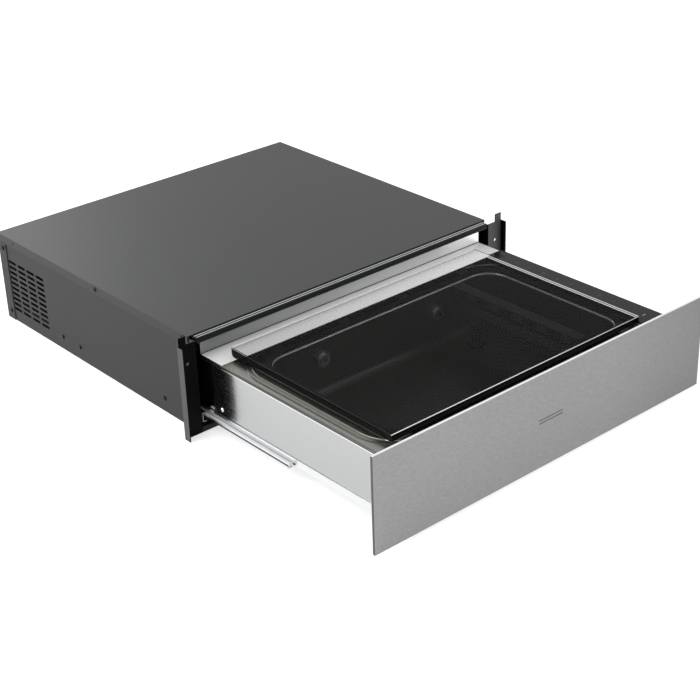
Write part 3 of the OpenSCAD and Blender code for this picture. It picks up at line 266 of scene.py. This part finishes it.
# The finish of each of the record's material slots
FINISHES = {
    "cover_paint": painted("cover_paint", (0.043, 0.044, 0.0445), 0.42, gloss=0.22),
    "casing_paint": painted("casing_paint", (0.031, 0.032, 0.033), 0.5, gloss=0.28),
    "base_steel": painted("base_steel", (0.03, 0.03, 0.032), 0.5),
    "black_steel": painted("black_steel", (0.009, 0.009, 0.0095), 0.4, gloss=0.2),
    "trim_aluminium": brushed("trim_aluminium", (0.5, 0.51, 0.52), 0.25, "X", contrast=0.03),
    "screw_steel": bright_metal("screw_steel", (0.05, 0.05, 0.053), 0.3),
    "runner_steel": brushed("runner_steel", (0.74, 0.75, 0.76), 0.2, "Y", contrast=0.03),
    "dark_runner_steel": brushed("dark_runner_steel", (0.6, 0.61, 0.62), 0.3, "Y", contrast=0.04),
    # The panel steel fades to a darker grey towards its right end: painted shade
    "panel_stainless": brushed("panel_stainless", (0.315, 0.315, 0.313), 0.42, "X", contrast=0.3,
                               grain=520, shear=4, uneven=0.12,
                               fade=((0.2, 0.2, 0.2), "X", PANEL_SHADE_FROM, PANEL_SHADE_DARKEST_AT)),
    "backing_steel": painted("backing_steel", (0.1, 0.1, 0.105), 0.5),
    "drawer_stainless": brushed("drawer_stainless", (0.45, 0.455, 0.455), 0.17, "Y", grain=1200, shear=60),
    "deck_stainless": brushed("deck_stainless", (0.66, 0.665, 0.66), 0.22, "X", grain=1200, shear=60),
    # The chamber steel is darkened far below stainless: painted shade inside the closed chamber
    "chamber_stainless": brushed("chamber_stainless", (0.13, 0.128, 0.124), 0.35, "X", contrast=0.02,
                                 grain=1800, shear=80, relief=0.02),
    "inner_steel": brushed("inner_steel", (0.5, 0.51, 0.52), 0.45, "X", contrast=0.06),
    "tinted_glass": glass("tinted_glass", (0.009, 0.0085, 0.008), alpha=0.46, roughness=0.02, ior=1.1),
    "black_glass": glass("black_glass", (0.018, 0.0185, 0.019), alpha=1.0, roughness=0.05, ior=1.17),
    "seal_rubber": moulded("seal_rubber", (0.012, 0.012, 0.012), 0.6),
    # The silicone's own reddish tone, darkened as painted shade of the closed chamber
    "silicone": moulded("silicone", (0.07, 0.024, 0.016), 0.55),
    "black_plastic": moulded("black_plastic", (0.014, 0.014, 0.015), 0.45),
    "pale_plastic": moulded("pale_plastic", (0.62, 0.62, 0.58), 0.4),
    "contact_brass": bright_metal("contact_brass", (0.75, 0.58, 0.28), 0.25),
    "circuit_board": circuit("circuit_board"),
    "pump_iron": cast("pump_iron", (0.3, 0.31, 0.32), 0.55),
    "motor_paint": painted("motor_paint", (0.08, 0.095, 0.105), 0.4),
    "core_steel": painted("core_steel", (0.06, 0.052, 0.045), 0.5),
    "machined_aluminium": brushed("machined_aluminium", (0.68, 0.69, 0.7), 0.3, "Y"),
    "shaft_steel": bright_metal("shaft_steel", (0.68, 0.69, 0.7), 0.18),
    "filter_plastic": moulded("filter_plastic", (0.5, 0.47, 0.4), 0.45),
    "hose_rubber": moulded("hose_rubber", (0.02, 0.02, 0.022), 0.5),
    # The tape's own brown, darkened as painted shade of the closed chamber
    "sealing_tape": moulded("sealing_tape", (0.03, 0.022, 0.016), 0.5, grain=500),
}
CAP_BLACK = moulded("cap_black", (0.005, 0.005, 0.005), 0.6, gloss=0.08)

slots = {part["node"]: part["material_slot"] for part in frame["record"]["subparts"]}


# ---- Pieces ----

def dress(obj, finish):
    """Gives an object one finish all over."""
    obj.data.materials.clear()
    obj.data.materials.append(finish)
    for polygon in obj.data.polygons:
        polygon.material_index = 0


def body_of(node):
    return frame["nodes"][node]["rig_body"]


def add_piece(name, mesh, body, slot, finish=None):
    """Puts a mesh into the scene as a piece that rides on a body."""
    piece = bpy.data.objects.new(name, mesh)
    bpy.context.scene.collection.objects.link(piece)
    dress(piece, finish or FINISHES[slot])
    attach(piece, body)
    return piece


def rounded(node, width):
    """Replaces a CAD node with the same form whose sharp edges are rounded."""
    mesh = frame["nodes"][node].data.copy()
    mesh.name = node + "_rounded"
    bm = bmesh.new()
    bm.from_mesh(mesh)
    bmesh.ops.remove_doubles(bm, verts=bm.verts, dist=WELD)
    bmesh.ops.dissolve_limit(bm, angle_limit=COPLANAR, verts=bm.verts, edges=bm.edges,
                             use_dissolve_boundaries=False)
    for face in bm.faces:
        face.smooth = True
    bm.to_mesh(mesh)
    bm.free()
    # The CAD mesh's own normals would shade the rounded edges as sharp
    if mesh.has_custom_normals:
        mesh.attributes.remove(mesh.attributes["custom_normal"])
    piece = add_piece(node + "_shell", mesh, body_of(node), slots[node])
    bevel = piece.modifiers.new("edges", "BEVEL")
    bevel.limit_method = "ANGLE"
    bevel.angle_limit = SHARP
    bevel.width = width
    bevel.segments = BEVEL_SEGMENTS
    bevel.harden_normals = True
    bevel.use_clamp_overlap = True
    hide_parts(node)
    return piece


def cut_across(piece, y):
    """Splits the faces of a piece at one depth, without moving anything."""
    bm = bmesh.new()
    bm.from_mesh(piece.data)
    everything = bm.verts[:] + bm.edges[:] + bm.faces[:]
    bmesh.ops.bisect_plane(bm, geom=everything, plane_co=(0, y, 0), plane_no=(0, 1, 0))
    bm.to_mesh(piece.data)
    bm.free()


def thin_slab(outline, near, far, upright=False):
    """A mesh over an outline drawn anticlockwise, between two heights, or two X places if upright."""
    mesh = bpy.data.meshes.new("slab")
    count = len(outline)
    points = [(depth, a, b) if upright else (a, b, depth) for depth in (near, far) for a, b in outline]
    foot = tuple(reversed(range(count)))
    top = tuple(range(count, 2 * count))
    sides = [(i, (i + 1) % count, count + (i + 1) % count, count + i) for i in range(count)]
    mesh.from_pydata(points, [], [foot, top, *sides])
    return mesh


def add_print(name, outline, height, rise, node, slot, finish):
    """Prints an outline at a height of a node's level surface, and lets it ride with that node."""
    add_piece(name, thin_slab(outline, height - rise, height + rise), body_of(node), slot, finish)


def rectangle(x0, x1, y0, y1):
    return [(x0, y0), (x1, y0), (x1, y1), (x0, y1)]


def ring(x, y, radius, width, turn, share, steps=14):
    """Outline of a part of a ring, from one angle on, in turns."""
    angles = [2 * math.pi * (turn + share * i / steps) for i in range(steps + 1)]
    bore = radius - width
    outer = [(x + radius * math.cos(a), y + radius * math.sin(a)) for a in angles]
    inner = [(x + bore * math.cos(a), y + bore * math.sin(a)) for a in reversed(angles)]
    return outer + inner


def stroke(x, y, length, width, upright=False):
    """Outline of a short stroke about a point."""
    half_x, half_y = (width / 2, length / 2) if upright else (length / 2, width / 2)
    return rectangle(x - half_x, x + half_x, y - half_y, y + half_y)


# ---- Finishes of single faces ----

def finish_faces(piece, choose):
    """Gives each face the finish that choose returns for it, or leaves it where that is None."""
    materials = piece.data.materials
    for polygon in piece.data.polygons:
        finish = choose(polygon)
        if finish is None:
            continue
        if finish.name not in materials:
            materials.append(finish)
        polygon.material_index = materials.find(finish.name)


def finish_sides(piece, finishes):
    """Finishes the faces that look along a direction, given as finishes by direction, such as "-X"."""

    def choose(polygon):
        for (sign, axis), finish in finishes.items():
            share = polygon.normal["XYZ".index(axis)]
            if (share if sign == "+" else -share) > SQUARE:
                return finish
        return None

    finish_faces(piece, choose)


def finish_edges(shell, finish):
    """Gives the rounded edges of a shell their own finish."""
    shell.data.materials.append(finish)
    shell.modifiers["edges"].material = len(shell.data.materials) - 1


def finish_lid():
    """Blackened sides, a bright line on the front chamfer, partly its own edge finish and partly painted
    highlight, and a soft gleam on the other edges.
    """
    sides = moulded("glass_side", (0.004, 0.006, 0.005), 0.12, gloss=0.1)
    # The chamfer's metal-like brightness is partly the glass edge's own finish and partly painted highlight
    ground_edge_highlight = bright_metal("glass_edge_with_painted_highlight", (0.3, 0.33, 0.32), 0.2)
    upright = 0.3

    def choose(polygon):
        rise = abs(polygon.normal.z)
        if rise < upright:
            return sides
        return ground_edge_highlight if rise < LEVEL else None

    finish_faces(shells["glass_lid"], choose)
    finish_edges(shells["glass_lid"], moulded("glass_corner", (0.02, 0.022, 0.021), 0.15, gloss=0.4))


def finish_trim():
    """Two bright ridges with a darkened valley between them as painted shade, over a near-black front as
    painted shadow.
    """
    # The groove's darkened aluminium: painted shade
    valley = brushed("trim_valley", (0.03, 0.032, 0.034), 0.3, "X")
    # The front below the ridges is near black: painted shadow
    black = painted("trim_painted_shadow", (0.012, 0.013, 0.014), 0.4, gloss=0.25)
    _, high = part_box("front_trim")
    ridge_foot = high.z - 1.25 * MM
    valley_low, valley_high = ridge_foot - 0.2 * MM, ridge_foot + 0.1 * MM
    crest_rise, crest_lean = 0.7, 0.4

    def choose(polygon):
        normal, height = polygon.normal, polygon.center.z
        if height > valley_high:
            return None if normal.z > crest_rise and normal.y < crest_lean else valley
        return valley if normal.z > SQUARE and height > valley_low else black

    finish_faces(shells["front_trim"], choose)


def finish_chamber():
    """A rim darkened to olive as painted reflection, and a rolled edge brightened as painted highlight, over
    the chamber steel darkened as painted shade.
    """
    # The rim steel darkened to olive: painted reflection of the lid's black sides
    rim = brushed("chamber_rim", (0.2, 0.2, 0.18), 0.27, "Y", grain=2200, shear=80, relief=0.02)
    # The rolled edge brightened far above the chamber steel: painted highlight
    rolled = bright_metal("chamber_rolled_edge", (0.9, 0.88, 0.92), 0.12, grain=300)
    _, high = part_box("vacuum_chamber")
    lid_low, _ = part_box("glass_lid")
    rim_foot = high.z - 4 * MM

    def choose(polygon):
        if polygon.center.z < rim_foot:
            return None
        beside_lid = polygon.center.x < lid_low.x or polygon.center.y < lid_low.y
        return rim if beside_lid or abs(polygon.normal.z) > LEVEL else rolled

    finish_faces(frame["nodes"]["vacuum_chamber"], choose)


def finish_deck():
    """The top frame: an olive painted reflection beside the lid, a painted highlight behind it, painted shade
    before it and in the top of its side folds.
    """
    _, frame_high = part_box("top_frame")
    _, rim_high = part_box("vacuum_chamber")
    touch_low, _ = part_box("touch_glass")
    shadow_foot, shadow_top = frame_high.z - 2.6 * MM, frame_high.z - 2.2 * MM
    # Beside the lid the deck steel is darkened to olive: painted reflection of the lid's black sides
    beside = brushed("frame_beside_lid", (0.24, 0.24, 0.22), 0.25, "Y", contrast=0.06,
                     grain=2200, shear=80, relief=0.03)
    # The folds darken over their top: painted shade
    fold = brushed("frame_fold", (0.7, 0.705, 0.7), 0.25, "Y",
                   fade=((0.1, 0.1, 0.1), "Z", shadow_foot, shadow_top))
    # Behind the rim the deck is a near-white paint: painted highlight
    behind = painted("deck_painted_highlight", (0.93, 0.935, 0.93), 0.35, gloss=0.5, grain=600)
    # Before the touch glass the frame is near black: painted shade
    before = painted("frame_front_shade", (0.006, 0.006, 0.006), 0.5, gloss=0.2)
    for y in (rim_high.y, touch_low.y):
        cut_across(shells["top_frame"], y)

    def choose(polygon):
        if polygon.normal.z < DEAD_LEVEL:
            return fold
        if polygon.center.y > rim_high.y:
            return behind
        return before if polygon.center.y < touch_low.y else beside

    finish_faces(shells["top_frame"], choose)


def finish_rear_strip():
    """The compartment cover's front and the hinge rail, both faded brighter towards the right as painted
    light, with a painted highlight on the rail's edges.
    """
    low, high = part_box("hinge_rail")
    # The fades along X are painted light, standing in for reflections that brighten towards the right
    front = brushed("cover_front", (0.3, 0.305, 0.31), 0.35, "X",
                    fade=((0.92, 0.925, 0.92), "X", low.x, high.x))
    finish_sides(shells["compartment_cover"], {"-Y": front})
    dress(shells["hinge_rail"],
          brushed("hinge_rail_top", (0.46, 0.46, 0.455), 0.25, "X", grain=1100, shear=12, relief=0.08,
                  fade=((0.68, 0.685, 0.68), "X", low.x, high.x)))
    # White paint on the rail's rounded edges: painted highlight
    finish_edges(shells["hinge_rail"], painted("hinge_rail_edge", (0.95, 0.95, 0.95), 0.3, gloss=0.5))


def finish_brackets():
    """One black paint in two copies: near black on the faces towards the niche as painted shade, paler on
    those that catch the light as painted light.
    """
    deep = painted("bracket_shade", (0.003, 0.003, 0.0033), 0.55, gloss=0.05)
    pale = painted("bracket_light", (0.095, 0.096, 0.098), 0.45)
    finish_sides(shells["left_bracket"], {"-Y": deep, "-X": pale})
    finish_sides(shells["right_bracket"], {"-Y": pale, "-X": deep})


def finish_rails():
    """Painted shade on the lower fold of the middle rails' webs and a painted highlight on their tops;
    darkened cut ends and near-black backs, both painted shade, on the fixed ones.
    """
    rail_low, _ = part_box("left_middle_rail")
    fold_top, web_foot = rail_low.z + 2.8 * MM, rail_low.z + 3.1 * MM
    # The web is near black below and bright above: painted shade on its lower fold
    web = brushed("rail_web", (0.07, 0.072, 0.074), 0.35, "Y",
                  fade=((0.8, 0.81, 0.82), "Z", fold_top, web_foot))
    # A near-white paint on the top faces: painted highlight
    lit_top = painted("rail_top_painted_highlight", (0.78, 0.79, 0.8), 0.35, gloss=0.5, grain=600)
    # Darkened steel on the cut ends and near black on the backs: painted shade
    cut = bright_metal("rail_cut_end", (0.3, 0.305, 0.31), 0.35)
    back = painted("rail_back", (0.012, 0.012, 0.0125), 0.6, gloss=0.1)
    for side, outward in (("left", "-X"), ("right", "+X")):
        finish_sides(shells[side + "_middle_rail"], {"-X": web, "+X": web, "+Z": lit_top})
        finish_sides(shells[side + "_fixed_rail"], {"-Y": cut, outward: back})


def finish_panel():
    """A painted highlight on the front panel's top edge and painted shade on its left end."""
    edge = brushed("panel_edge", (0.86, 0.86, 0.86), 0.3, "X", contrast=0.03)
    end = brushed("panel_side", (0.1, 0.1, 0.1), 0.4, "Z")
    finish_sides(shells["front_panel"], {"+Z": edge, "-X": end})


def finish_small_parts():
    """Painted shade on the cover's edges, a pale touch glass edge, and parts under the lid darkened as painted
    shade.
    """
    # Near-black rounded edges on the cover: painted shade where they mirror dark surroundings
    finish_edges(shells["top_cover"], painted("cover_edge_painted_shade", (0.004, 0.004, 0.004), 0.5, gloss=0.1))
    finish_edges(shells["touch_glass"], moulded("touch_glass_edge", (0.42, 0.43, 0.44), 0.2, gloss=0.5))
    dress(shells["rail_end_caps"], CAP_BLACK)
    # The sealing bar and the parts round it are darkened: painted shade of the closed chamber
    dress(shells["sealing_bar"], painted("sealing_bar_painted_shade", (0.02, 0.019, 0.018), 0.5, gloss=0.25))
    for node in ("seal_cylinders", "counter_bar_carrier"):
        dress(frame["nodes"][node], bright_metal(node + "_black", (0.05, 0.05, 0.052), 0.35))


# ---- Thin trim and prints ----

def print_touch_marks():
    """Four generic marks, printed twice down the touch glass, one at each sensor."""
    low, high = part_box("touch_glass")
    x = low.x + 8 * MM
    first_y = high.y - 48 * MM
    count, pitch = 8, 26 * MM
    radius, line, gap = 2.6 * MM, 0.5 * MM, 1.3 * MM
    short, long, lift = 2.4 * MM, 4.4 * MM, 1.6 * MM
    ink = moulded("touch_marks", (0.065, 0.067, 0.07), 0.5, grain=800)
    for number in range(count):
        y = first_y - number * pitch
        marks = (
            # An open ring with a stroke in its gap
            [ring(x, y, radius, line, turn=0.32, share=0.86), stroke(x, y + lift, short, line, upright=True)],
            # Three rising strokes
            [stroke(x + step * gap, y, (2 + step) * MM, line, upright=True) for step in (-1, 0, 1)],
            # A closed ring round a stroke
            [ring(x, y, radius, line, turn=0.0, share=0.999), stroke(x, y, short, line)],
            # Three level strokes
            [stroke(x, y + step * gap, long, line) for step in (-1, 0, 1)],
        )
        for part, outline in enumerate(marks[number % len(marks)]):
            add_print("touch_mark_%d_%d" % (number + 1, part + 1), outline, high.z, TOUCH_MARK_RISE,
                      "touch_glass", "black_glass", ink)


def draw_push_mark():
    """Dark strips in the two grooves of the push mark."""
    low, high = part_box("front_panel")
    groove_dark = painted("push_mark", (0.02, 0.02, 0.02), 0.5, gloss=0.2)
    middle = (low.z + high.z) / 2
    half_length, near, far = 22 * MM, 1.7 * MM, 2.8 * MM
    proud, depth = 0.01 * MM, 0.2 * MM
    outline = rectangle(-half_length, half_length, low.y - proud, low.y + depth)
    for number, (foot, top) in enumerate(((-far, -near), (near, far))):
        add_piece("push_mark_%d" % (number + 1), thin_slab(outline, middle + foot, middle + top),
                  body_of("front_panel"), "panel_stainless", groove_dark)


def add_lid_lips():
    """Black lips under the edges of the lid's glass and skirts under its end caps, just clear of the rim."""
    low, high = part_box("glass_lid")
    rail_low, rail_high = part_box("hinge_rail")
    _, rim_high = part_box("vacuum_chamber")
    _, frame_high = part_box("top_frame")
    width = 1.5 * MM
    # The skirts hang over the rim, and behind it lower down, over the frame
    foot, rear_foot = rim_high.z + 0.3 * MM, frame_high.z + 0.6 * MM
    top = low.z + 0.4 * MM
    behind_rim, back = rim_high.y + 0.4 * MM, rail_high.y - 1 * MM
    skirt = [(rail_low.y, foot), (behind_rim, foot), (behind_rim, rear_foot),
             (back - 3 * MM, rear_foot), (back, foot + 0.5 * MM), (back, top), (rail_low.y, top)]
    body = body_of("glass_lid")
    for side, near, far in (("left", low.x, low.x + width), ("right", high.x - width, high.x)):
        lip = thin_slab(rectangle(near, far, low.y, rail_low.y), foot, low.z)
        add_piece(side + "_lid_lip", lip, body, "seal_rubber", CAP_BLACK)
        add_piece(side + "_cap_skirt", thin_slab(skirt, near, far, upright=True), body, "black_plastic",
                  CAP_BLACK)
    lip = thin_slab(rectangle(low.x + width, high.x - width, low.y, low.y + width), foot, low.z)
    add_piece("front_lid_lip", lip, body, "seal_rubber", CAP_BLACK)


def add_lid_lines():
    """Painted highlight lines along the lid's right edge, black tops on the end caps, a painted highlight on
    the rail's rear edge.
    """
    low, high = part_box("glass_lid")
    rail_low, rail_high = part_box("hinge_rail")
    line, cap, edge = 2.2 * MM, 1.2 * MM, 1.6 * MM
    # Pale strips on the glass near its right edge: painted highlight of the edge's bright lines
    ground_edge_highlight = moulded("lid_edge_painted_highlight", (0.68, 0.7, 0.75), 0.3, gloss=0.5)
    for number, inset in enumerate((0.4 * MM, 4.4 * MM)):
        outline = rectangle(high.x - inset - line, high.x - inset, low.y + 1 * MM, rail_low.y)
        add_print("lid_edge_highlight_line_%d" % (number + 1), outline, high.z, PRINT_RISE,
                  "glass_lid", "tinted_glass", ground_edge_highlight)
    for side, near in (("left", low.x), ("right", high.x - cap)):
        outline = rectangle(near, near + cap, rail_low.y, rail_high.y)
        add_print(side + "_cap_top", outline, rail_high.z, PRINT_RISE, "glass_lid", "black_plastic", CAP_BLACK)
    # A white strip along the rail's rear top edge: painted highlight
    outline = rectangle(rail_low.x, rail_high.x, rail_high.y - edge, rail_high.y)
    add_print("rail_edge_line", outline, rail_high.z, PRINT_RISE, "glass_lid", "drawer_stainless",
              painted("rail_edge_line", (0.95, 0.95, 0.95), 0.3, gloss=0.5))


def add_touch_trim():
    """A black strip of painted shadow over the gap between lid and touch glass, a window, and a painted glint
    on the glass.
    """
    low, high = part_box("touch_glass")
    _, lid_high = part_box("glass_lid")
    _, rim_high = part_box("vacuum_chamber")
    gap = 0.6 * MM
    foot, top = rim_high.z + 0.05 * MM, rim_high.z + 0.35 * MM
    # A black sheet over the rim in the gap: painted shadow
    gap_shadow = rectangle(lid_high.x + gap, low.x, low.y, high.y)
    add_piece("touch_gap_shadow", thin_slab(gap_shadow, foot, top), body_of("touch_glass"), "black_glass")
    window = rectangle(low.x + 5 * MM, low.x + 13 * MM, high.y - 23 * MM, high.y - 7 * MM)
    add_print("touch_window", window, high.z, PRINT_RISE, "touch_glass", "black_glass",
              moulded("window_black", (0.002, 0.002, 0.002), 0.2, gloss=0.1))
    # A pale bar on the glass: painted glint
    glint = rectangle(low.x + 2 * MM, low.x + 8.5 * MM, low.y + 41 * MM, low.y + 42.4 * MM)
    add_print("touch_glint", glint, high.z, PRINT_RISE, "touch_glass", "black_glass",
              moulded("glint_mark", (0.42, 0.43, 0.45), 0.4, gloss=0.4))


def add_cover_seam():
    """Dark jointing strip along the foot of the compartment cover."""
    low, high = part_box("compartment_cover")
    _, frame_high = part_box("top_frame")
    width, height = 0.4 * MM, 0.9 * MM
    outline = rectangle(low.x, high.x, low.y - width, low.y)
    add_piece("cover_seam", thin_slab(outline, frame_high.z, frame_high.z + height),
              body_of("compartment_cover"), "seal_rubber")


# ---- Studio ----

def add_camera():
    back = Vector((math.sin(CAMERA_AZIMUTH) * math.cos(CAMERA_ELEVATION),
                   -math.cos(CAMERA_AZIMUTH) * math.cos(CAMERA_ELEVATION),
                   math.sin(CAMERA_ELEVATION)))
    level_right = Vector((0, 0, 1)).cross(back).normalized()
    level_up = back.cross(level_right)
    right = level_right * math.cos(CAMERA_ROLL) + level_up * math.sin(CAMERA_ROLL)
    up = level_up * math.cos(CAMERA_ROLL) - level_right * math.sin(CAMERA_ROLL)
    data = bpy.data.cameras.new("photo_camera")
    data.sensor_width = SENSOR_MM
    data.sensor_fit = "HORIZONTAL"
    data.lens = FOCAL_PIXELS / PHOTO_SIZE * SENSOR_MM
    camera = bpy.data.objects.new("photo_camera", data)
    bpy.context.scene.collection.objects.link(camera)
    turn = Matrix((right, up, back)).transposed().to_4x4()
    camera.matrix_world = Matrix.Translation(CAMERA_PLACE) @ turn
    bpy.context.scene.camera = camera


def add_softbox(name, place, aim, size, watts):
    data = bpy.data.lights.new(name, "AREA")
    data.shape = "RECTANGLE"
    data.size, data.size_y = size
    data.energy = watts
    light = bpy.data.objects.new(name, data)
    bpy.context.scene.collection.objects.link(light)
    light.location = place
    light.rotation_euler = (Vector(aim) - Vector(place)).to_track_quat("-Z", "Y").to_euler()


def seen_directly(tree):
    """1 for camera, mirror and see-through rays, 0 for the rays that light the object."""
    path = tree.nodes.new("ShaderNodeLightPath")
    total = path.outputs["Is Camera Ray"]
    for name in ("Is Glossy Ray", "Is Transmission Ray"):
        larger = tree.nodes.new("ShaderNodeMath")
        larger.operation = "MAXIMUM"
        tree.links.new(total, larger.inputs[0])
        tree.links.new(path.outputs[name], larger.inputs[1])
        total = larger.outputs[0]
    return total


def mix_by_ray(tree, lighting, seen, target):
    """Sends one shader to the rays that light the object and another to those that see it."""
    mix = tree.nodes.new("ShaderNodeMixShader")
    for source, socket in zip((seen_directly(tree), lighting, seen), mix.inputs):
        tree.links.new(source, socket)
    tree.links.new(mix.outputs[0], tree.nodes[target].inputs["Surface"])


def add_world():
    world = bpy.data.worlds.new("studio")
    bpy.context.scene.world = world
    world.use_nodes = True
    tree = world.node_tree
    grey = tree.nodes["Background"]
    grey.inputs["Color"].default_value = (WORLD_GREY, WORLD_GREY, WORLD_GREY, 1)
    white = tree.nodes.new("ShaderNodeBackground")
    white.inputs["Color"].default_value = (1, 1, 1, 1)
    mix_by_ray(tree, grey.outputs[0], white.outputs[0], "World Output")


def add_floor():
    """White paper that keeps the object's shadow and glows a little where it is seen."""
    mesh = bpy.data.meshes.new("floor")
    corners = [(x, y, 0) for x, y in rectangle(-FLOOR_HALF, FLOOR_HALF, -FLOOR_HALF, FLOOR_HALF)]
    mesh.from_pydata(corners, [], [(0, 1, 2, 3)])
    floor = bpy.data.objects.new("floor", mesh)
    bpy.context.scene.collection.objects.link(floor)
    floor.location.z = -FLOOR_DROP
    finish = Finish("floor_paper", Roughness=0.9, Specular_IOR_Level=0.1)
    mottle = finish.noise(30, detail=3)
    finish.feed(finish.between(mottle, (0.86, 0.86, 0.86), (0.88, 0.88, 0.88)), "Base Color")
    glow = finish.add("ShaderNodeEmission")
    glow.inputs["Strength"].default_value = FLOOR_GLOW
    lit = finish.add("ShaderNodeAddShader")
    finish.link(finish.shader.outputs[0], lit.inputs[0])
    finish.link(glow.outputs[0], lit.inputs[1])
    mix_by_ray(finish.tree, finish.shader.outputs[0], lit.outputs[0], "Material Output")
    dress(floor, finish.material)


# ---- The scene ----

# Every CAD node has its slot's finish, also where a rounded piece stands for it
for node_name, node_object in frame["nodes"].items():
    dress(node_object, FINISHES[slots[node_name]])

ROUNDING_MM = {
    "top_cover": 0.5, "left_casing_side": 0.2, "right_casing_side": 0.2, "rear_panel": 0.4,
    "left_bracket": 0.35, "right_bracket": 0.35, "front_trim": 0.25, "front_sill": 0.3,
    "front_panel": 0.35, "panel_backing": 0.4, "left_drawer_side": 0.2, "right_drawer_side": 0.2,
    "compartment_cover": 0.35, "top_frame": 0.2, "left_drawer_rail": 0.3, "right_drawer_rail": 0.3,
    "left_middle_rail": 0.2, "right_middle_rail": 0.2, "left_fixed_rail": 0.3, "right_fixed_rail": 0.3,
    "glass_lid": 0.35, "touch_glass": 0.3, "hinge_rail": 0.08, "rail_end_caps": 0.2,
    "mains_inlet": 0.4, "sealing_bar": 0.5, "casing_screws": 0.25,
}
shells = {node_name: rounded(node_name, width * MM) for node_name, width in ROUNDING_MM.items()}

finish_lid()
finish_trim()
finish_chamber()
finish_deck()
finish_rear_strip()
finish_brackets()
finish_rails()
finish_panel()
finish_small_parts()

print_touch_marks()
draw_push_mark()
add_lid_lips()
add_lid_lines()
add_touch_trim()
add_cover_seam()

add_camera()
add_world()
add_floor()
add_softbox("key", place=(-1.0, 0.0, 1.15), aim=(-0.1, -0.05, 0.1), size=(0.9, 0.7), watts=9)
add_softbox("fill", place=(1.0, -2.0, 1.3), aim=(0.1, -0.5, 0.05), size=(1.4, 1.0), watts=9)
add_softbox("rear", place=(0.25, 2.1, 1.3), aim=(-0.2, 0.1, 0.1), size=(1.2, 0.9), watts=12)
bpy.context.scene.view_settings.view_transform = "Standard"
